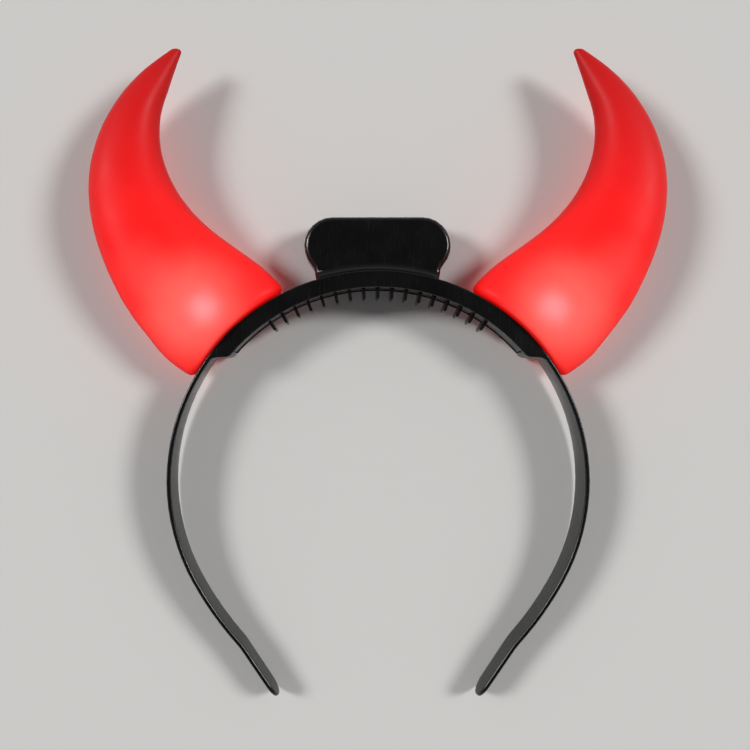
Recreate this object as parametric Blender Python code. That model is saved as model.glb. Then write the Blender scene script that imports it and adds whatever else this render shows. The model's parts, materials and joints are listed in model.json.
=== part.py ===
"""Devil horns headband, lying on its back on a flat surface.

Metres, +Z up. X runs across the headband, Y towards the horn tips and Z towards
the viewer. Lengths below are in millimetres and are turned into metres where a
mesh is made. The pieces are drawn in the headband's own plane, with the middle
of their depth at z = 0, and one empty then lays them on the surface.
"""

import math

import bmesh
import bpy
from mathutils import Vector

MM = 0.001
GAP = 0.3

# Joined solids reach this far into each other, and cutters this far past a face
JOIN_OVERLAP = 0.8
CUTTER_REACH = 3.0

# Edges sharper than this are drawn sharp
SHARP_DEG = 35.0
HORN_SHARP_DEG = 50.0

# Band: an upper housing that follows a circle, and two thin arms
BAND_CENTRE_Y = -35.3
BAND_OUTER_R = 70.0
BAND_DEPTH = 14.0
BAND_EDGE_R = 0.5
CORNER_SHARE = 0.45
ARM_THICKNESS = 1.5
TIP_DEPTH = 10.0
TIP_ROUND_LENGTH = 5.0
TIP_THIN_SHARE = 0.6
TIP_END_SHARE = 0.15
HOUSING_INNER_R = 64.3
HOUSING_WALL = 1.5
HOUSING_HALF_DEG = 49.5
HOUSING_STEP_DEG = 4.5
CHANNEL_HALF_DEG = 48.2
CHANNEL_STEPS = 32

# Right half of the band's outer face, from the top centre to the straight tip
BAND_BENDS = (
    # radius in millimetres, turn in degrees, steps along the bend
    (BAND_OUTER_R, HOUSING_HALF_DEG, 16),
    (BAND_OUTER_R, HOUSING_STEP_DEG, 6),
    (BAND_OUTER_R, 64.7, 18),
    (112.0, 12.6, 6),
    (-30.0, -7.4, 3),
)
TIP_STRAIGHT = 19.3
TIP_STEPS = 6
TAPER_START_TURN = 90.0

# Comb strip that closes the housing on the head's side
COMB_INNER_R = 64.6
COMB_THICKNESS = 1.3
TOOTH_COUNT = 17
TOOTH_PITCH_DEG = 4.27
TOOTH_TIP_R = 60.6
TOOTH_WIDTH = 1.0
TOOTH_DEPTH = 9.4
TOOTH_TIP_STEPS = 4

# Battery box above the middle of the band
BOX_TOP_Y = 53.2
BOX_END_R = 9.6
BOX_END_X = 15.1
BOX_END_SWEEP_DEG = 43.0
BOX_NECK_R = 3.5
BOX_FRONT_Z = 2.2
BOX_BACK_Z = -11.3
BOX_WALL = 1.6
BOX_FRONT_ROUND = 1.6
BOX_ROOT_R = 68.9
BOX_ROOT_X = 20.4
BOX_FILLET = 3.2
BOX_FILLET_HALF_DEG = 16.2
COVER_THICKNESS = 1.6
BOX_END_STEPS = 9
BOX_NECK_STEPS = 4
BOX_ROOT_STEPS = 4
BOX_FRONT_STEPS = 3
FILLET_STEPS = 10
FILLET_ARC_STEPS = 4

# Horns: hollow shells that stand on the band's outer face
HORN_WALL = 1.3
HORN_BASE_ROUND = 3.0
HORN_BASE_DEG = (61.2, 26.2)
HORN_BASE_DEPTH = 21.0
HORN_BASE_STEPS = 4
HORN_RING_POINTS = 24
HORN_RINGS_PER_ROW = 2
HORN_TIP_RISE = 1.7
HORN_TIP_STEPS = 3
HORN_TIP_LAST_DEG = 75.0
HORN_LEAST_HALF = 0.2
HOLLOW_LEAST_CORNER = 0.5
HOLLOW_RINGS_PER_ROW = 1.5
HOLLOW_STOPS_SHORT_ROWS = 1.5
HORN_FULLNESS = 2.25
HORN_BOW_ROWS = 4.0
HORN_SECTIONS = (
    # outer edge x, outer edge y, inner edge x, inner edge y, depth
    (71.4, 5.3, 38.9, 36.7, 21.8),
    (76.8, 11.8, 45.7, 41.6, 22.5),
    (84.9, 22.6, 56.8, 49.7, 23.5),
    (91.6, 36.2, 64.6, 57.8, 24.0),
    (96.0, 49.7, 69.7, 65.9, 23.0),
    (97.4, 63.2, 72.7, 74.0, 20.8),
    (96.0, 74.0, 73.7, 80.8, 18.2),
    (92.3, 84.8, 73.2, 88.9, 15.0),
    (85.6, 95.6, 71.0, 95.6, 11.4),
    (77.8, 103.7, 68.8, 102.0, 7.2),
    (70.3, 109.3, 66.5, 108.4, 3.4),
)

# Light and its seat, which stands through the hole in a horn's base
LED_DEG = 44.5
LED_R = 2.5
LED_FLANGE_R = 2.9
LED_FLANGE_HEIGHT = 1.0
LED_HEIGHT = 8.7
LED_DOME_STEPS = 5
LED_DOME_FLAT_R = 0.25
LED_SEGMENTS = 16
SEAT_R = 4.0
SEAT_HEIGHT = 3.3
HORN_HOLE_R = 4.6
SEAT_SEGMENTS = 20

# Rounds that find the arm and horn points on which the back lies
REST_ROUNDS = 4

BLACK_PLASTIC = (0.009, 0.009, 0.011)
RED_PLASTIC = (0.78, 0.012, 0.012)
LED_RED = (1.0, 0.10, 0.08)


def clear_scene():
    for old in list(bpy.data.objects):
        bpy.data.objects.remove(old, do_unlink=True)


def plastic(name, colour, roughness):
    material = bpy.data.materials.new(name)
    material.use_nodes = True
    shader = material.node_tree.nodes["Principled BSDF"]
    shader.inputs["Base Color"].default_value = (*colour, 1.0)
    shader.inputs["Roughness"].default_value = roughness
    shader.inputs["Metallic"].default_value = 0.0
    return material


def add_object(name, bm, material=None, sharp_deg=SHARP_DEG):
    """Makes an object of a mesh that is drawn in millimetres."""
    bmesh.ops.recalc_face_normals(bm, faces=bm.faces)
    bmesh.ops.scale(bm, vec=(MM, MM, MM), verts=bm.verts)
    mesh = bpy.data.meshes.new(name)
    bm.to_mesh(mesh)
    bm.free()
    mesh.shade_smooth()
    mesh.set_sharp_from_angle(angle=math.radians(sharp_deg))
    piece = bpy.data.objects.new(name, mesh)
    bpy.context.scene.collection.objects.link(piece)
    if material:
        mesh.materials.append(material)
    return piece


def boolean(piece, tool, operation):
    """Joins a hidden tool to a piece, or cuts the piece with it."""
    tool.hide_render = True
    tool.display_type = "WIRE"
    step = piece.modifiers.new(tool.name, "BOOLEAN")
    step.object = tool
    step.operation = operation
    step.solver = "EXACT"


def polar(radius, degrees, z=0.0):
    """Point on a circle about the band's centre; 0 degrees is the top."""
    turn = math.radians(degrees)
    return Vector((radius * math.sin(turn), BAND_CENTRE_Y + radius * math.cos(turn), z))


def mirrored(point, side):
    return Vector((side * point.x, point.y, point.z))


def loft(bm, rings, curved_caps=False):
    """Skins closed rings of equal size and caps both ends."""
    rows = [[bm.verts.new(point) for point in ring] for ring in rings]
    count = len(rows[0])
    for lower, upper in zip(rows, rows[1:]):
        for i in range(count):
            j = (i + 1) % count
            bm.faces.new((lower[i], lower[j], upper[j], upper[i]))
    for row in (rows[0], rows[-1]):
        if curved_caps:
            ladder_cap(bm, row)
        else:
            bm.faces.new(row)


def ladder_cap(bm, row):
    """Closes a ring with strips across it, which keep its bow."""
    count = len(row)
    bm.faces.new((row[0], row[1], row[-1]))
    for i in range(1, count // 2 - 1):
        bm.faces.new((row[i], row[i + 1], row[count - i - 1], row[count - i]))
    bm.faces.new((row[count // 2 - 1], row[count // 2], row[count // 2 + 1]))


def prism(outline, low_z, high_z):
    """Closed solid of a flat outline between two heights."""
    bm = bmesh.new()
    low = [Vector((point[0], point[1], low_z)) for point in outline]
    high = [Vector((point[0], point[1], high_z)) for point in outline]
    loft(bm, (low, high))
    return bm


def arc_block(inner_r, outer_r, half_deg, low_z, high_z, steps):
    """Closed solid between two circles about the band's centre."""
    turns = [half_deg * (2 * i / steps - 1) for i in range(steps + 1)]
    outline = [polar(outer_r, turn) for turn in turns]
    outline += [polar(inner_r, turn) for turn in reversed(turns)]
    return prism(outline, low_z, high_z)


def smooth_step(value):
    value = min(max(value, 0.0), 1.0)
    return value * value * (3 - 2 * value)


def rounded_rectangle(width, height, radius):
    """Outline about the origin, with three points on each corner."""
    radius = min(radius, CORNER_SHARE * width, CORNER_SHARE * height)
    outline = []
    for quarter, (x_side, y_side) in enumerate(((1, 1), (-1, 1), (-1, -1), (1, -1))):
        for step in range(3):
            angle = math.radians(90 * quarter + 45 * step)
            x = x_side * (width / 2 - radius) + radius * math.cos(angle)
            y = y_side * (height / 2 - radius) + radius * math.sin(angle)
            outline.append((x, y))
    return outline


def band_stations():
    """Right half of the outer face: point, turn in degrees and length so far."""
    chords = []
    for radius, bend, steps in BAND_BENDS:
        each = bend / steps
        chords += [(2 * radius * math.sin(math.radians(each) / 2), each)] * steps
    chords.append((TIP_STRAIGHT - TIP_ROUND_LENGTH, 0.0))
    reached = 0.0
    for i in range(1, TIP_STEPS + 1):
        target = TIP_ROUND_LENGTH * math.sin(math.pi / 2 * i / TIP_STEPS)
        chords.append((target - reached, 0.0))
        reached = target
    point = polar(BAND_OUTER_R, 0.0)
    turn = 0.0
    length = 0.0
    stations = [(point, turn, length)]
    for chord, bend in chords:
        heading = math.radians(turn + bend / 2)
        point = point + chord * Vector((math.cos(heading), -math.sin(heading), 0.0))
        turn += bend
        length += chord
        stations.append((point, turn, length))
    return stations


def band_ring(station, taper_start, total):
    """Section of the band: housing at the top, thin arm, rounded tip."""
    point, turn, length = station
    step = (HOUSING_HALF_DEG + HOUSING_STEP_DEG - turn) / HOUSING_STEP_DEG
    rise = BAND_OUTER_R - HOUSING_INNER_R - ARM_THICKNESS
    thickness = ARM_THICKNESS + rise * smooth_step(step)
    taper = max(0.0, (length - taper_start) / (total - taper_start))
    depth = BAND_DEPTH + (TIP_DEPTH - BAND_DEPTH) * taper
    into_tip = max(0.0, (length - total + TIP_ROUND_LENGTH) / TIP_ROUND_LENGTH)
    round_off = math.sqrt(max(0.0, 1 - into_tip * into_tip))
    depth *= TIP_END_SHARE + (1 - TIP_END_SHARE) * round_off
    width = thickness * (TIP_THIN_SHARE + (1 - TIP_THIN_SHARE) * round_off)
    heading = math.radians(turn)
    inward = Vector((-math.sin(heading), -math.cos(heading), 0.0))
    return [
        point + inward * (thickness / 2 + across) + Vector((0.0, 0.0, deep))
        for across, deep in rounded_rectangle(width, depth, BAND_EDGE_R)
    ]


def box_outline(inset, root_r):
    """Battery box seen from the front, shrunk by an inset."""
    end_r = BOX_END_R - inset
    end_y = BOX_TOP_Y - BOX_END_R
    sweep = math.radians(BOX_END_SWEEP_DEG)
    reach = BOX_END_R + BOX_NECK_R
    neck = Vector((BOX_END_X + reach * math.cos(sweep), end_y - reach * math.sin(sweep)))
    neck_r = BOX_NECK_R + inset
    root_x = BOX_ROOT_X - inset
    root_y = BAND_CENTRE_Y + math.sqrt(root_r**2 - root_x**2)
    right = []
    for i in range(BOX_END_STEPS + 1):
        angle = math.pi / 2 - (math.pi / 2 + sweep) * i / BOX_END_STEPS
        right.append((BOX_END_X + end_r * math.cos(angle), end_y + end_r * math.sin(angle)))
    for i in range(1, BOX_NECK_STEPS + 1):
        angle = math.pi - sweep + sweep * i / BOX_NECK_STEPS
        neck_y = neck.y + neck_r * math.sin(angle)
        if neck_y > root_y:
            right.append((neck.x + neck_r * math.cos(angle), neck_y))
    right.append((root_x, root_y))
    root_turn = math.degrees(math.asin(root_x / root_r))
    for i in range(1, BOX_ROOT_STEPS):
        point = polar(root_r, root_turn * (1 - i / BOX_ROOT_STEPS))
        right.append((point.x, point.y))
    bottom = polar(root_r, 0.0)
    left = [(-x, y) for x, y in reversed(right)]
    return right + [(bottom.x, bottom.y)] + left


def battery_box():
    """Solid box body with a rounded front edge."""
    bm = bmesh.new()
    rings = []
    levels = [(0.0, BOX_BACK_Z)]
    for i in range(BOX_FRONT_STEPS + 1):
        angle = math.pi / 2 * i / BOX_FRONT_STEPS
        inset = BOX_FRONT_ROUND * (1 - math.cos(angle))
        levels.append((inset, BOX_FRONT_Z - BOX_FRONT_ROUND * (1 - math.sin(angle))))
    for inset, z in levels:
        rings.append([Vector((x, y, z)) for x, y in box_outline(inset, BOX_ROOT_R)])
    loft(bm, rings)
    return bm


def box_fillet():
    """Concave corner between the box's front face and the band's outer face."""
    low_r = BAND_OUTER_R - JOIN_OVERLAP
    low_z = BOX_FRONT_Z - JOIN_OVERLAP
    rings = []
    for i in range(FILLET_STEPS + 1):
        turn = BOX_FILLET_HALF_DEG * (2 * i / FILLET_STEPS - 1)
        section = [(low_r, low_z), (BAND_OUTER_R + BOX_FILLET, low_z)]
        for k in range(FILLET_ARC_STEPS + 1):
            angle = math.pi / 2 * k / FILLET_ARC_STEPS
            radius = BAND_OUTER_R + BOX_FILLET * (1 - math.sin(angle))
            section.append((radius, BOX_FRONT_Z + BOX_FILLET * (1 - math.cos(angle))))
        section.append((low_r, BOX_FRONT_Z + BOX_FILLET))
        rings.append([polar(radius, turn, z) for radius, z in section])
    bm = bmesh.new()
    loft(bm, rings)
    return bm


def radial_cylinder(side, low_r, high_r, radius, segments):
    """Closed cylinder that points away from the band's centre at a light."""
    bm = bmesh.new()
    rings = []
    for level in (low_r, high_r):
        rings.append(radial_ring(side, level, radius, segments))
    loft(bm, rings)
    return bm


def radial_ring(side, level, radius, segments):
    centre = polar(level, LED_DEG)
    tangent = Vector((math.cos(math.radians(LED_DEG)), -math.sin(math.radians(LED_DEG)), 0.0))
    ring = []
    for i in range(segments):
        angle = 2 * math.pi * i / segments
        point = centre + radius * (math.cos(angle) * tangent + math.sin(angle) * Vector((0, 0, 1)))
        ring.append(mirrored(point, side))
    return ring


def make_band(material):
    half = band_stations()
    total = half[-1][2]
    taper_start = math.radians(TAPER_START_TURN) * BAND_OUTER_R
    right = [band_ring(station, taper_start, total) for station in half]
    left = [[mirrored(point, -1) for point in ring] for ring in reversed(right[1:])]
    bm = bmesh.new()
    loft(bm, left + right)
    band = add_object("band", bm, material)
    boolean(band, add_object("box_body", battery_box()), "UNION")
    boolean(band, add_object("box_fillet", box_fillet()), "UNION")
    for side, word in ((1, "right"), (-1, "left")):
        seat_top = BAND_OUTER_R + SEAT_HEIGHT
        seat = radial_cylinder(side, BAND_OUTER_R - JOIN_OVERLAP, seat_top, SEAT_R, SEAT_SEGMENTS)
        boolean(band, add_object("seat_" + word, seat), "UNION")
    channel = arc_block(
        HOUSING_INNER_R - CUTTER_REACH,
        BAND_OUTER_R - HOUSING_WALL,
        CHANNEL_HALF_DEG,
        HOUSING_WALL - BAND_DEPTH / 2,
        BAND_DEPTH / 2 - HOUSING_WALL,
        CHANNEL_STEPS,
    )
    boolean(band, add_object("channel", channel), "DIFFERENCE")
    cells_outline = box_outline(BOX_WALL, BAND_OUTER_R + BOX_WALL)
    cells = prism(cells_outline, BOX_BACK_Z - CUTTER_REACH, BOX_FRONT_Z - BOX_WALL)
    boolean(band, add_object("cell_space", cells), "DIFFERENCE")
    return band


def make_comb(material):
    side_z = BAND_DEPTH / 2 - HOUSING_WALL - GAP
    outer_r = COMB_INNER_R + COMB_THICKNESS
    end_deg = CHANNEL_HALF_DEG - math.degrees(GAP / COMB_INNER_R)
    strip = arc_block(COMB_INNER_R, outer_r, end_deg, -side_z, side_z, CHANNEL_STEPS)
    comb = add_object("comb_strip", strip, material)
    bm = bmesh.new()
    half = TOOTH_WIDTH / 2
    for number in range(TOOTH_COUNT):
        turn = math.radians(TOOTH_PITCH_DEG * (number - (TOOTH_COUNT - 1) / 2))
        outward = Vector((math.sin(turn), math.cos(turn)))
        across = Vector((math.cos(turn), -math.sin(turn)))
        profile = [(half, COMB_INNER_R + COMB_THICKNESS / 2)]
        for i in range(TOOTH_TIP_STEPS + 1):
            angle = math.pi * i / TOOTH_TIP_STEPS
            profile.append((half * math.cos(angle), TOOTH_TIP_R + half - half * math.sin(angle)))
        profile.append((-half, COMB_INNER_R + COMB_THICKNESS / 2))
        rings = []
        for z in (-TOOTH_DEPTH / 2, TOOTH_DEPTH / 2):
            ring = []
            for sideways, radius in profile:
                flat = outward * radius + across * sideways
                ring.append(Vector((flat.x, BAND_CENTRE_Y + flat.y, z)))
            rings.append(ring)
        loft(bm, rings)
    boolean(comb, add_object("teeth", bm), "UNION")
    return comb


def make_cover(material):
    outline = box_outline(BOX_WALL + GAP, BAND_OUTER_R + BOX_WALL + GAP)
    plate = prism(outline, BOX_BACK_Z, BOX_BACK_Z + COVER_THICKNESS)
    return add_object("battery_cover", plate, material)


def catmull_rom(rows, position):
    """Smooth value of each column at a position counted in rows."""
    last = len(rows) - 1
    index = min(int(position), last - 1)
    t = position - index
    before = rows[max(index - 1, 0)]
    start = rows[index]
    end = rows[index + 1]
    after = rows[min(index + 2, last)]
    values = []
    for p0, p1, p2, p3 in zip(before, start, end, after):
        straight = p2 - p0
        bend = 2 * p0 - 5 * p1 + 4 * p2 - p3
        twist = -p0 + 3 * p1 - 3 * p2 + p3
        values.append(0.5 * (2 * p1 + t * (straight + t * (bend + t * twist))))
    return values


def horn_base_row(radius, inset):
    """Section on a circle about the band's centre, narrowed by an inset."""
    outer_deg, inner_deg = HORN_BASE_DEG
    shrink = math.degrees(inset / radius)
    outer = polar(radius, outer_deg - shrink)
    inner = polar(radius, inner_deg + shrink)
    return (outer.x, outer.y, inner.x, inner.y, HORN_BASE_DEPTH - 2 * inset)


def horn_ring(row, bow, inset, side):
    """Oval across the horn, bowed where it follows the band."""
    outer = Vector((row[0], row[1], 0.0))
    inner = Vector((row[2], row[3], 0.0))
    centre = (outer + inner) / 2
    half = (outer - inner) / 2
    half_width = max(half.length - inset, HORN_LEAST_HALF)
    half_depth = max(row[4] / 2 - inset, HORN_LEAST_HALF)
    across = half.normalized()
    along = Vector((-across.y, across.x, 0.0))
    power = 2 / HORN_FULLNESS
    ring = []
    for i in range(HORN_RING_POINTS):
        angle = 2 * math.pi * i / HORN_RING_POINTS
        x = math.copysign(abs(math.cos(angle)) ** power, math.cos(angle))
        z = math.copysign(abs(math.sin(angle)) ** power, math.sin(angle))
        point = centre + across * half_width * x + along * bow * (1 - x * x)
        point.z = half_depth * z
        ring.append(mirrored(point, side))
    return ring


def horn_bow(half_width, row_number):
    """Rise of a section's middle, full on the band and gone further up."""
    sagitta = half_width**2 / (2 * BAND_OUTER_R)
    return sagitta * (1 - smooth_step(row_number / HORN_BOW_ROWS))


def horn_rings(inset, start_rise, end_row, per_row, side):
    """Rings of a horn's outer skin, or of its hollow when there is an inset."""
    base_r = BAND_OUTER_R + GAP
    widest = horn_base_row(base_r + HORN_BASE_ROUND, 0.0)
    rows = (widest,) + HORN_SECTIONS
    rings = []
    corner = max(HORN_BASE_ROUND - inset, HOLLOW_LEAST_CORNER)
    for i in range(HORN_BASE_STEPS):
        angle = math.pi / 2 * i / HORN_BASE_STEPS
        radius = base_r + start_rise + corner * (1 - math.cos(angle))
        row = horn_base_row(radius, corner * (1 - math.sin(angle)))
        rings.append(horn_ring(row, horn_bow(row_half_width(row), 0.0), inset, side))
    count = int(end_row * per_row)
    for i in range(count + 1):
        position = end_row * i / count
        row = catmull_rom(rows, position)
        rings.append(horn_ring(row, horn_bow(row_half_width(row), position), inset, side))
    return rings


def horn_tip(before, last):
    """Rings of the round end beyond the last section."""
    tip = sum(last, Vector()) / HORN_RING_POINTS
    onward = (tip - sum(before, Vector()) / HORN_RING_POINTS).normalized()
    rings = []
    for i in range(1, HORN_TIP_STEPS + 1):
        angle = math.radians(HORN_TIP_LAST_DEG) * i / HORN_TIP_STEPS
        lift = onward * HORN_TIP_RISE * math.sin(angle)
        rings.append([tip + (point - tip) * math.cos(angle) + lift for point in last])
    return rings


def row_half_width(row):
    return math.hypot(row[0] - row[2], row[1] - row[3]) / 2


def make_horn(side, word, material):
    last_row = len(HORN_SECTIONS)
    bm = bmesh.new()
    rings = horn_rings(0.0, 0.0, last_row, HORN_RINGS_PER_ROW, side)
    rings += horn_tip(rings[-2], rings[-1])
    loft(bm, rings, curved_caps=True)
    horn = add_object("horn_" + word, bm, material, HORN_SHARP_DEG)
    hollow = bmesh.new()
    hollow_end = last_row - HOLLOW_STOPS_SHORT_ROWS
    hollow_rings = horn_rings(HORN_WALL, HORN_WALL, hollow_end, HOLLOW_RINGS_PER_ROW, side)
    loft(hollow, hollow_rings, curved_caps=True)
    boolean(horn, add_object("hollow_" + word, hollow), "DIFFERENCE")
    hole_top = BAND_OUTER_R + HORN_BASE_ROUND + CUTTER_REACH
    hole = radial_cylinder(side, BAND_OUTER_R - CUTTER_REACH, hole_top, HORN_HOLE_R, SEAT_SEGMENTS)
    boolean(horn, add_object("hole_" + word, hole), "DIFFERENCE")
    return horn


def make_led(side, word, material):
    """Round light with a flange and a domed end."""
    foot = BAND_OUTER_R + SEAT_HEIGHT + GAP
    levels = [(0.0, LED_FLANGE_R), (LED_FLANGE_HEIGHT, LED_FLANGE_R), (LED_FLANGE_HEIGHT, LED_R)]
    for i in range(LED_DOME_STEPS + 1):
        angle = math.pi / 2 * i / LED_DOME_STEPS
        height = LED_HEIGHT - LED_R * (1 - math.sin(angle))
        levels.append((height, max(LED_R * math.cos(angle), LED_DOME_FLAT_R)))
    bm = bmesh.new()
    rings = [radial_ring(side, foot + height, radius, LED_SEGMENTS) for height, radius in levels]
    loft(bm, rings)
    return add_object("led_" + word, bm, material)


def surface_points(pieces):
    bpy.context.view_layer.update()
    depsgraph = bpy.context.evaluated_depsgraph_get()
    points = []
    for piece in pieces:
        evaluated = piece.evaluated_get(depsgraph)
        points += [evaluated.matrix_world @ vertex.co for vertex in evaluated.data.vertices]
    return points


def tilted_height(point, tilt):
    """Height of a point once the headband is tilted about the X axis."""
    return point.z * math.cos(tilt) + point.y * math.sin(tilt)


def lay_down(pieces):
    """Lays the back on a surface, and centres the headband on it."""
    points = surface_points(pieces)
    arms = [point for point in points if point.y < BAND_CENTRE_Y * MM]
    upper = [point for point in points if point.y > 0.0]
    tilt = 0.0
    for _ in range(REST_ROUNDS):
        heel = min(arms, key=lambda point: tilted_height(point, tilt))
        toe = min(upper, key=lambda point: tilted_height(point, tilt))
        tilt = math.atan2(heel.z - toe.z, toe.y - heel.y)
    rest = bpy.data.objects.new("rest_frame", None)
    bpy.context.scene.collection.objects.link(rest)
    rest.rotation_euler = (tilt, 0.0, 0.0)
    for item in list(bpy.data.objects):
        if item is not rest:
            item.parent = rest
    points = surface_points(pieces)
    low = Vector([min(point[k] for point in points) for k in range(3)])
    high = Vector([max(point[k] for point in points) for k in range(3)])
    rest.location = (-(low.x + high.x) / 2, -(low.y + high.y) / 2, -low.z)
    bpy.context.view_layer.update()


def main():
    clear_scene()
    black = plastic("black_abs", BLACK_PLASTIC, 0.28)
    comb_black = plastic("black_comb", BLACK_PLASTIC, 0.35)
    cover_black = plastic("black_cover", BLACK_PLASTIC, 0.32)
    pieces = [make_band(black), make_comb(comb_black), make_cover(cover_black)]
    for side, word in ((1, "right"), (-1, "left")):
        pieces.append(make_horn(side, word, plastic("red_horn_" + word, RED_PLASTIC, 0.3)))
        pieces.append(make_led(side, word, plastic("red_led_" + word, LED_RED, 0.2)))
    lay_down(pieces)


main()
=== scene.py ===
import json
import math

import bmesh
import bpy
from mathutils import Matrix, Vector


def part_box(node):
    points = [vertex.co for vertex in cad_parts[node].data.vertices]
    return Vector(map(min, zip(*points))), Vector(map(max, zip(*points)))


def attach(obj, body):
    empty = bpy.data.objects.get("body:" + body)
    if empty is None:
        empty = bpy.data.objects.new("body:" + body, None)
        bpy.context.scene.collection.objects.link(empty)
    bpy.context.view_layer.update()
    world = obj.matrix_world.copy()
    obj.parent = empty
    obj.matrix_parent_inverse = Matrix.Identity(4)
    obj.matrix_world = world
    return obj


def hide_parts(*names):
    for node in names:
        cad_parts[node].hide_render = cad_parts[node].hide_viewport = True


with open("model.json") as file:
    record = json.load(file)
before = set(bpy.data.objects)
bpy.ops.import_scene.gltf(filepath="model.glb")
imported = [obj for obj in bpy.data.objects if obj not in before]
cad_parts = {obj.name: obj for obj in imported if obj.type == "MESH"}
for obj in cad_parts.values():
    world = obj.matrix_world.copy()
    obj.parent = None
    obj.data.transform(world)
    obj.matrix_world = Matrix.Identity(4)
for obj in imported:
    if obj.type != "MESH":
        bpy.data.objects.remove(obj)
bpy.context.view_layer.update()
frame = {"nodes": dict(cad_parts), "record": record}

# Devil horns headband: finishes, studio and camera. Metres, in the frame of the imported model.
MM = 0.001

# The headband's own plane is tilted by the way it lies on its back
BOX_FRONT = next(m for m in frame["record"]["mounts"] if m["name"] == "box_front_face")
REST_TILT = math.atan2(-BOX_FRONT["axis"][1], BOX_FRONT["axis"][2])
BAND_FRONT_ABOVE_BOX_FRONT = 4.8 * MM
BOX_FRONT_CENTRE_V = 44.14 * MM

# Camera: nearly straight above, a little to the left, as in the photograph
FRAME_PIXELS = 750
PIXEL_SIZE = 0.33 * MM
CAMERA_DISTANCE = 294 * MM
CAMERA_OFFSET_X = -10 * MM
AXIS_PIXEL_X = 378.2
SENSOR_WIDTH = 36.0
NEAREST_SEEN = 0.01
FURTHEST_SEEN = 20.0

# Points nearer than this are one point
WELD_DISTANCE = 0.002 * MM
# Black mouldings: triangles flatter than this against each other are one face, edges flatter
# than the other are shaded round, and sharper ones get a small bevel
FLAT_DEG = 0.4
SMOOTH_DEG = 52.0
BEVEL_STEPS = 2
BAND_BEVEL = 0.12 * MM
COMB_BEVEL = 0.10 * MM
COVER_BEVEL = 0.20 * MM
# Horns: which triangle pairs become quads, and how often those are halved
QUAD_FACE_DEG = 30.0
QUAD_SHAPE_DEG = 60.0
HORN_ROUNDING = 2
LAMP_SMOOTH_DEG = 40.0

# Studio: a wide soft light low on either side, under a dim ceiling
SIDE_LIGHT_ELEVATION = 41.0
SIDE_LIGHT_TURN = 15.0
SIDE_LIGHT_SPREAD = 16.0
SIDE_LIGHT_STRENGTH = 1.6
HORIZON_GREY = (0.46, 0.46, 0.47)
CEILING_GREY = (0.035, 0.035, 0.038)
FLOOR_SIZE = 30.0

# Colours as they look in sRGB
ABS_BLACK = "030304"
ABS_WORN_BLACK = "090909"
HORN_RED = "b00c0c"
HORN_DEEP_RED = "a0080a"
LENS_RED = "ff6a5c"
FLOOR_PALE = "dad9d6"

# Roughness of the black mouldings where they are least handled, and what handling adds
BAND_GLOSS = 0.22
COMB_GLOSS = 0.26
COVER_GLOSS = 0.36
HANDLED_DULLING = 0.08
SCRATCH_DULLING = 0.16
# Sizes of their patterns
HANDLED_PATCH = 14 * MM
HAIRLINE_WIDTH = 0.4 * MM
HAIRLINE_LENGTH = 9 * MM
HAIRLINE_TURN = 0.5
BAND_PEEL = 0.5 * MM
COMB_PEEL = 0.4 * MM
COVER_PEEL = 0.25 * MM
ABS_PEEL_HEIGHT = 0.02 * MM

# Horns: soft skin that mirrors less than the usual level of 0.5
HORN_SPECULAR = 0.15
HORN_ROUGHNESS = (0.43, 0.52)
HORN_CLOUD = 9 * MM
# Painted glow: how much dimmer or brighter it gets in random patches
PAINTED_GLOW_PATCHES = (0.93, 1.05)
HORN_PEEL = 0.9 * MM
HORN_PEEL_HEIGHT = 0.03 * MM

LENS_HAZE = 1.5 * MM
LENS_ROUGHNESS = (0.05, 0.16)
LENS_BRIGHTNESS = 2.0
PAPER_TOOTH = 0.6 * MM
PAPER_TOOTH_HEIGHT = 0.03 * MM

# Painted glow of a lit horn, put on as emission: distance from the middle of the lit patch in millimetres
# and the linear colour there
HORN_GLOW = (
    # distance, red, green, blue
    (0.0, 0.92, 0.138, 0.116),
    (8.0, 0.92, 0.128, 0.104),
    (13.0, 0.90, 0.086, 0.068),
    (18.0, 0.88, 0.028, 0.022),
    (23.0, 0.86, 0.003, 0.002),
    (32.0, 0.74, 0.002, 0.001),
    (46.0, 0.58, 0.001, 0.001),
    (62.0, 0.41, 0.001, 0.001),
    (84.0, 0.20, 0.000, 0.000),
    (112.0, 0.02, 0.000, 0.000),
)
# Painted hot spot straight above the lamp
HOT_SPOT = (
    # distance, red, green, blue
    (0.0, 0.04, 0.270, 0.330),
    (3.5, 0.03, 0.190, 0.230),
    (6.5, 0.01, 0.030, 0.036),
    (10.0, 0.00, 0.000, 0.000),
)
# Painted pool of the light that the lamp throws on the outer wall further up
WALL_GLOW = (
    # distance, red, green, blue
    (0.0, 0.02, 0.036, 0.030),
    (4.0, 0.02, 0.031, 0.026),
    (9.0, 0.01, 0.012, 0.010),
    (13.0, 0.00, 0.000, 0.000),
)
# Middles of the three, in the photograph's plane: outward and towards the tip from the lamp's box
LAMP_END_SHARE = 0.2
HOT_SPOT_SHIFT = (1.4 * MM, 0.1 * MM)
PATCH_SHIFT = (5.0 * MM, 0.2 * MM)
WALL_SHIFT = (22.0 * MM, 13.4 * MM)
GLOW_DEPTH_SHARE = 0.35
# Painted shade on the flanks: what is left of the painted glow where the surface faces sideways
FLANK_GLOW = (0.42, 0.05, 0.05)
FLANK_UPRIGHT = 0.1
FACE_UPRIGHT = 0.95


def linear(code):
    """Linear colour of an sRGB hex value."""
    parts = [int(code[i:i + 2], 16) / 255 for i in (0, 2, 4)]
    return tuple(c / 12.92 if c <= 0.04045 else ((c + 0.055) / 1.055) ** 2.4 for c in parts)


def opaque(code):
    return (*linear(code), 1.0)


def add(tree, kind, values=None, links=None, **settings):
    """Adds one node with its settings, its values and what feeds it."""
    made = tree.nodes.new(kind)
    for key, value in settings.items():
        setattr(made, key, value)
    for key, value in (values or {}).items():
        made.inputs[key].default_value = value
    for key, source in (links or {}).items():
        tree.links.new(source, made.inputs[key])
    return made


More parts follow.
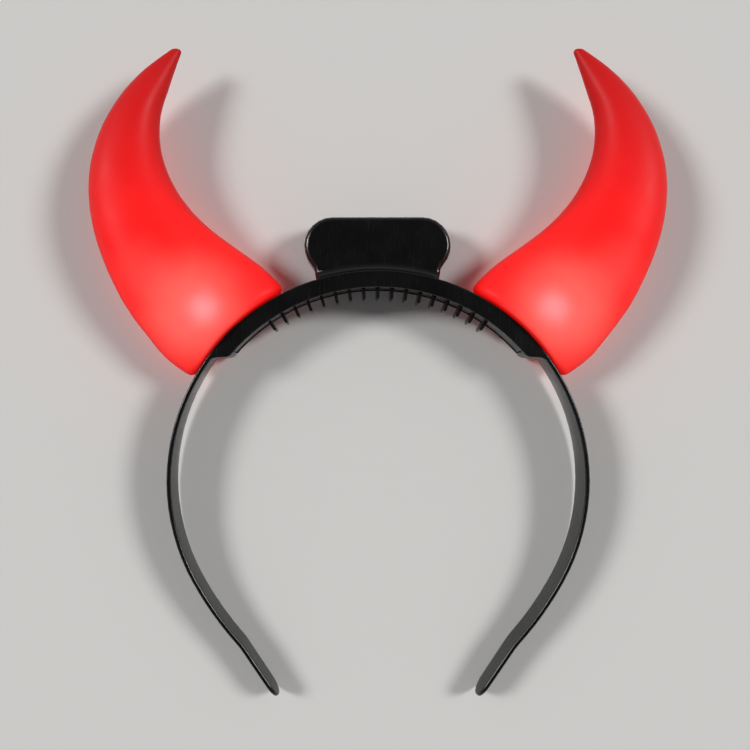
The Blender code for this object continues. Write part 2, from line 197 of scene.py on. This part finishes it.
def new_material(name):
    """Material with nothing in its tree but the output."""
    material = bpy.data.materials.new(name)
    material.use_nodes = True
    tree = material.node_tree
    tree.nodes.clear()
    return material, tree, tree.nodes.new("ShaderNodeOutputMaterial")


def injection_moulded_abs(name, gloss, peel_size):
    """Glossy ABS from a polished mould: near black, with a faint orange peel and handled patches."""
    material, tree, output = new_material(name)
    place = add(tree, "ShaderNodeTexCoord").outputs["Object"]
    handled = add(
        tree,
        "ShaderNodeTexNoise",
        {"Scale": 1 / HANDLED_PATCH, "Detail": 3.0, "Roughness": 0.6},
        {"Vector": place},
    )
    tint = add(
        tree,
        "ShaderNodeMix",
        {"A": opaque(ABS_BLACK), "B": opaque(ABS_WORN_BLACK)},
        {"Factor": handled.outputs["Fac"]},
        data_type="RGBA",
    )
    # Hairline scratches, drawn 0.4 mm wide so that they show
    along = add(
        tree,
        "ShaderNodeMapping",
        {
            "Rotation": (0.0, 0.0, HAIRLINE_TURN),
            "Scale": (1 / HAIRLINE_WIDTH, 1 / HAIRLINE_LENGTH, 1 / HAIRLINE_WIDTH),
        },
        {"Vector": place},
    )
    hairlines = add(
        tree,
        "ShaderNodeTexNoise",
        {"Scale": 1.0, "Detail": 2.0, "Roughness": 0.7},
        {"Vector": along.outputs["Vector"]},
    )
    rough = add(
        tree,
        "ShaderNodeMapRange",
        {"From Min": 0.3, "From Max": 0.75, "To Min": gloss, "To Max": gloss + HANDLED_DULLING},
        {"Value": handled.outputs["Fac"]},
    )
    scratched = add(
        tree,
        "ShaderNodeMapRange",
        {"From Min": 0.58, "From Max": 0.80, "To Min": 0.0, "To Max": SCRATCH_DULLING},
        {"Value": hairlines.outputs["Fac"]},
    )
    worn = add(
        tree,
        "ShaderNodeMath",
        links={0: rough.outputs["Result"], 1: scratched.outputs["Result"]},
        operation="ADD",
    )
    peel = add(tree, "ShaderNodeTexNoise", {"Scale": 1 / peel_size, "Detail": 1.0}, {"Vector": place})
    bump = add(
        tree,
        "ShaderNodeBump",
        {"Strength": 0.25, "Distance": ABS_PEEL_HEIGHT},
        {"Height": peel.outputs["Fac"]},
    )
    shader = add(
        tree,
        "ShaderNodeBsdfPrincipled",
        {"IOR": 1.53},
        {
            "Base Color": tint.outputs["Result"],
            "Roughness": worn.outputs["Value"],
            "Normal": bump.outputs["Normal"],
        },
    )
    tree.links.new(shader.outputs["BSDF"], output.inputs["Surface"])
    return material


def glow_by_distance(tree, place, middle, stops):
    """Painted glow: colour that falls off with the distance from a point, with depth counted less."""
    flat = Vector((1.0, 1.0, GLOW_DEPTH_SHARE))
    squashed = add(tree, "ShaderNodeVectorMath", {1: flat}, {0: place}, operation="MULTIPLY")
    apart = add(
        tree,
        "ShaderNodeVectorMath",
        {1: middle * flat},
        {0: squashed.outputs["Vector"]},
        operation="DISTANCE",
    )
    reach = stops[-1][0] * MM
    share = add(
        tree, "ShaderNodeMath", {1: reach}, {0: apart.outputs["Value"]}, operation="DIVIDE", use_clamp=True
    )
    ramp_node = add(tree, "ShaderNodeValToRGB", links={"Fac": share.outputs["Value"]})
    ramp = ramp_node.color_ramp
    ramp.interpolation = "B_SPLINE"
    while len(ramp.elements) < len(stops):
        ramp.elements.new(1.0)
    for stop, (distance, *colour) in zip(ramp.elements, stops):
        stop.position = distance * MM / reach
        stop.color = (*colour, 1.0)
    return ramp_node.outputs["Color"]


def translucent_red_pvc(name, hot_spot, patch, wall):
    """Soft translucent PVC horn, satin outside, with the light of the lamp in its base painted on as
    emission.
    """
    material, tree, output = new_material(name)
    coordinates = add(tree, "ShaderNodeTexCoord")
    place = coordinates.outputs["Object"]
    # Painted light: the lamp's glow, hot spot and wall pool, all put on as emission
    broad = glow_by_distance(tree, place, patch, HORN_GLOW)
    spot = glow_by_distance(tree, place, hot_spot, HOT_SPOT)
    thrown = glow_by_distance(tree, place, wall, WALL_GLOW)
    near_lamp = add(tree, "ShaderNodeVectorMath", links={0: broad, 1: spot}, operation="ADD")
    all_glow = add(
        tree, "ShaderNodeVectorMath", links={0: near_lamp.outputs["Vector"], 1: thrown}, operation="ADD"
    )
    # Painted shade: the glow is dimmed on the flanks by which way the surface faces
    facing = add(tree, "ShaderNodeSeparateXYZ", links={"Vector": coordinates.outputs["Normal"]})
    upright = add(tree, "ShaderNodeMath", links={0: facing.outputs["Z"]}, operation="ABSOLUTE")
    flank = add(
        tree,
        "ShaderNodeMapRange",
        {
            "From Min": Vector((FLANK_UPRIGHT,) * 3),
            "From Max": Vector((FACE_UPRIGHT,) * 3),
            "To Min": Vector(FLANK_GLOW),
        },
        {"Vector": upright.outputs["Value"]},
        data_type="FLOAT_VECTOR",
        interpolation_type="SMOOTHSTEP",
    )
    flank_shaded_glow = add(
        tree,
        "ShaderNodeVectorMath",
        links={0: all_glow.outputs["Vector"], 1: flank.outputs["Vector"]},
        operation="MULTIPLY",
    )
    clouds = add(tree, "ShaderNodeTexNoise", {"Scale": 1 / HORN_CLOUD, "Detail": 2.0}, {"Vector": place})
    # The painted glow is made a little brighter or dimmer in random patches
    glow_patches = add(
        tree,
        "ShaderNodeMapRange",
        {
            "From Min": 0.3,
            "From Max": 0.7,
            "To Min": PAINTED_GLOW_PATCHES[0],
            "To Max": PAINTED_GLOW_PATCHES[1],
        },
        {"Value": clouds.outputs["Fac"]},
    )
    glow = add(
        tree,
        "ShaderNodeVectorMath",
        links={0: flank_shaded_glow.outputs["Vector"], "Scale": glow_patches.outputs["Result"]},
        operation="SCALE",
    )
    tint = add(
        tree,
        "ShaderNodeMix",
        {"A": opaque(HORN_RED), "B": opaque(HORN_DEEP_RED)},
        {"Factor": clouds.outputs["Fac"]},
        data_type="RGBA",
    )
    peel = add(tree, "ShaderNodeTexNoise", {"Scale": 1 / HORN_PEEL, "Detail": 2.0}, {"Vector": place})
    bump = add(
        tree,
        "ShaderNodeBump",
        {"Strength": 0.2, "Distance": HORN_PEEL_HEIGHT},
        {"Height": peel.outputs["Fac"]},
    )
    rough = add(
        tree,
        "ShaderNodeMapRange",
        {"From Min": 0.3, "From Max": 0.7, "To Min": HORN_ROUGHNESS[0], "To Max": HORN_ROUGHNESS[1]},
        {"Value": clouds.outputs["Fac"]},
    )
    shader = add(
        tree,
        "ShaderNodeBsdfPrincipled",
        {"IOR": 1.52, "Specular IOR Level": HORN_SPECULAR, "Emission Strength": 1.0},
        {
            "Base Color": tint.outputs["Result"],
            "Roughness": rough.outputs["Result"],
            "Normal": bump.outputs["Normal"],
            "Emission Color": glow.outputs["Vector"],
        },
    )
    tree.links.new(shader.outputs["BSDF"], output.inputs["Surface"])
    return material


def lit_epoxy_lens(name):
    """Tinted epoxy of a lit lamp, clear and glossy."""
    material, tree, output = new_material(name)
    place = add(tree, "ShaderNodeTexCoord").outputs["Object"]
    haze = add(tree, "ShaderNodeTexNoise", {"Scale": 1 / LENS_HAZE, "Detail": 1.0}, {"Vector": place})
    rough = add(
        tree,
        "ShaderNodeMapRange",
        {"To Min": LENS_ROUGHNESS[0], "To Max": LENS_ROUGHNESS[1]},
        {"Value": haze.outputs["Fac"]},
    )
    shader = add(
        tree,
        "ShaderNodeBsdfPrincipled",
        {
            "Base Color": opaque(LENS_RED),
            "IOR": 1.5,
            "Emission Color": opaque(LENS_RED),
            "Emission Strength": LENS_BRIGHTNESS,
        },
        {"Roughness": rough.outputs["Result"]},
    )
    tree.links.new(shader.outputs["BSDF"], output.inputs["Surface"])
    return material


def backdrop_paper(name):
    """Pale matte backdrop paper with a faint tooth."""
    material, tree, output = new_material(name)
    place = add(tree, "ShaderNodeTexCoord").outputs["Object"]
    tooth = add(tree, "ShaderNodeTexNoise", {"Scale": 1 / PAPER_TOOTH, "Detail": 2.0}, {"Vector": place})
    bump = add(
        tree,
        "ShaderNodeBump",
        {"Strength": 0.15, "Distance": PAPER_TOOTH_HEIGHT},
        {"Height": tooth.outputs["Fac"]},
    )
    shader = add(
        tree,
        "ShaderNodeBsdfPrincipled",
        {"Base Color": opaque(FLOOR_PALE), "Roughness": 0.85},
        {"Normal": bump.outputs["Normal"]},
    )
    tree.links.new(shader.outputs["BSDF"], output.inputs["Surface"])
    return material


def dressed_copy(node, name, material):
    """Merged copy of a CAD node that takes its place in the picture."""
    skin = bmesh.new()
    skin.from_mesh(frame["nodes"][node].data)
    bmesh.ops.remove_doubles(skin, verts=skin.verts, dist=WELD_DISTANCE)
    mesh = bpy.data.meshes.new(name)
    skin.to_mesh(mesh)
    skin.free()
    if mesh.attributes.get("custom_normal"):
        mesh.attributes.remove(mesh.attributes["custom_normal"])
    mesh.materials.clear()
    mesh.materials.append(material)
    piece = bpy.data.objects.new(name, mesh)
    bpy.context.scene.collection.objects.link(piece)
    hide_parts(node)
    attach(piece, "root")
    return piece


def join_quads(mesh):
    """Turns a lofted skin's triangles back into quads."""
    skin = bmesh.new()
    skin.from_mesh(mesh)
    bmesh.ops.join_triangles(
        skin,
        faces=skin.faces,
        angle_face_threshold=math.radians(QUAD_FACE_DEG),
        angle_shape_threshold=math.radians(QUAD_SHAPE_DEG),
    )
    skin.to_mesh(mesh)
    skin.free()


def make_horn(side):
    """Smooth horn skin over the faceted shell."""
    low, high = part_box("led_" + side)
    outward = 1 if side == "right" else -1
    lamp_end = (low + high) / 2
    lamp_end.x += outward * LAMP_END_SHARE * (high.x - low.x)
    lamp_end.y += LAMP_END_SHARE * (high.y - low.y)
    middles = [
        lamp_end + Vector((outward * across, along, 0.0))
        for across, along in (HOT_SPOT_SHIFT, PATCH_SHIFT, WALL_SHIFT)
    ]
    skin = translucent_red_pvc("translucent_pvc_" + side, *middles)
    horn = dressed_copy("horn_" + side, "horn_skin_" + side, skin)
    join_quads(horn.data)
    horn.data.shade_smooth()
    rounding = horn.modifiers.new("rounding", "SUBSURF")
    rounding.levels = HORN_ROUNDING
    rounding.render_levels = HORN_ROUNDING


def make_black_piece(node, name, material, bevel):
    """Black moulding with its flat faces cleaned and its sharp edges softened."""
    piece = dressed_copy(node, name, material)
    moulding = bmesh.new()
    moulding.from_mesh(piece.data)
    bmesh.ops.dissolve_limit(
        moulding,
        angle_limit=math.radians(FLAT_DEG),
        verts=moulding.verts,
        edges=moulding.edges,
        delimit={"NORMAL"},
    )
    sharp = [e for e in moulding.edges if e.calc_face_angle(0.0) > math.radians(SMOOTH_DEG)]
    bmesh.ops.bevel(
        moulding,
        geom=sharp,
        offset=bevel,
        offset_type="OFFSET",
        affect="EDGES",
        segments=BEVEL_STEPS,
        profile=0.5,
        clamp_overlap=True,
        miter_outer="ARC",
        material=-1,
    )
    bmesh.ops.remove_doubles(moulding, verts=moulding.verts, dist=WELD_DISTANCE)
    bmesh.ops.dissolve_degenerate(moulding, edges=moulding.edges, dist=WELD_DISTANCE)
    moulding.to_mesh(piece.data)
    moulding.free()
    piece.data.shade_smooth()
    piece.data.set_sharp_from_angle(angle=math.radians(SMOOTH_DEG))
    shading = piece.modifiers.new("shading", "WEIGHTED_NORMAL")
    shading.keep_sharp = True


def make_pieces():
    abs_gloss = injection_moulded_abs("injection_moulded_abs", BAND_GLOSS, BAND_PEEL)
    abs_comb = injection_moulded_abs("injection_moulded_abs_comb", COMB_GLOSS, COMB_PEEL)
    abs_satin = injection_moulded_abs("satin_abs_cover", COVER_GLOSS, COVER_PEEL)
    make_black_piece("band", "band_moulding", abs_gloss, BAND_BEVEL)
    make_black_piece("comb_strip", "comb_moulding", abs_comb, COMB_BEVEL)
    make_black_piece("battery_cover", "cover_plate", abs_satin, COVER_BEVEL)
    lens = lit_epoxy_lens("lit_epoxy_lens")
    for side in ("left", "right"):
        make_horn(side)
        lamp = dressed_copy("led_" + side, "lamp_" + side, lens)
        lamp.data.shade_smooth()
        lamp.data.set_sharp_from_angle(angle=math.radians(LAMP_SMOOTH_DEG))


def make_floor():
    sheet = bmesh.new()
    bmesh.ops.create_grid(sheet, x_segments=1, y_segments=1, size=FLOOR_SIZE / 2)
    mesh = bpy.data.meshes.new("floor")
    sheet.to_mesh(mesh)
    sheet.free()
    mesh.materials.append(backdrop_paper("backdrop_paper"))
    floor = bpy.data.objects.new("floor", mesh)
    bpy.context.scene.collection.objects.link(floor)


def make_lights():
    """A wide soft light from either side, and the room around."""
    for side, word in ((-1, "left"), (1, "right")):
        lamp = bpy.data.lights.new("side_light_" + word, "SUN")
        lamp.energy = SIDE_LIGHT_STRENGTH
        lamp.angle = math.radians(SIDE_LIGHT_SPREAD)
        holder = bpy.data.objects.new("side_light_" + word, lamp)
        level = math.radians(SIDE_LIGHT_ELEVATION)
        turn = math.radians(SIDE_LIGHT_TURN)
        towards = Vector(
            (side * math.cos(level) * math.cos(turn), math.cos(level) * math.sin(turn), math.sin(level))
        )
        holder.rotation_mode = "QUATERNION"
        holder.rotation_quaternion = towards.to_track_quat("Z", "Y")
        bpy.context.scene.collection.objects.link(holder)
    world = bpy.data.worlds.new("studio")
    world.use_nodes = True
    tree = world.node_tree
    tree.nodes.clear()
    direction = add(tree, "ShaderNodeTexCoord").outputs["Generated"]
    parts = add(tree, "ShaderNodeSeparateXYZ", links={"Vector": direction})
    ceiling = add(tree, "ShaderNodeValToRGB", links={"Fac": parts.outputs["Z"]})
    ceiling.color_ramp.elements[0].color = (*HORIZON_GREY, 1.0)
    ceiling.color_ramp.elements[1].color = (*CEILING_GREY, 1.0)
    sky = add(tree, "ShaderNodeBackground", {"Strength": 1.0}, {"Color": ceiling.outputs["Color"]})
    add(tree, "ShaderNodeOutputWorld", links={"Surface": sky.outputs["Background"]})
    bpy.context.scene.world = world


def make_camera():
    """Camera square to the headband's own plane."""
    tilt = Matrix.Rotation(REST_TILT, 4, "X")
    box_front = tilt.to_3x3().transposed() @ Vector(BOX_FRONT["pos_m"])
    across = (FRAME_PIXELS / 2 - AXIS_PIXEL_X) * PIXEL_SIZE
    up = box_front.y - BOX_FRONT_CENTRE_V
    centre = Vector((across, up, box_front.z + BAND_FRONT_ABOVE_BOX_FRONT))
    camera = bpy.data.cameras.new("photo_camera")
    camera.sensor_width = SENSOR_WIDTH
    camera.lens = SENSOR_WIDTH * CAMERA_DISTANCE / (FRAME_PIXELS * PIXEL_SIZE)
    camera.shift_x = -CAMERA_OFFSET_X / (FRAME_PIXELS * PIXEL_SIZE)
    camera.clip_start = NEAREST_SEEN
    camera.clip_end = FURTHEST_SEEN
    place = centre + Vector((CAMERA_OFFSET_X, 0.0, CAMERA_DISTANCE))
    holder = bpy.data.objects.new("photo_camera", camera)
    holder.matrix_world = tilt @ Matrix.Translation(place)
    bpy.context.scene.collection.objects.link(holder)
    bpy.context.scene.camera = holder


def main():
    make_pieces()
    make_floor()
    make_lights()
    make_camera()
    bpy.context.scene.view_settings.view_transform = "Standard"
    bpy.context.view_layer.update()


main()
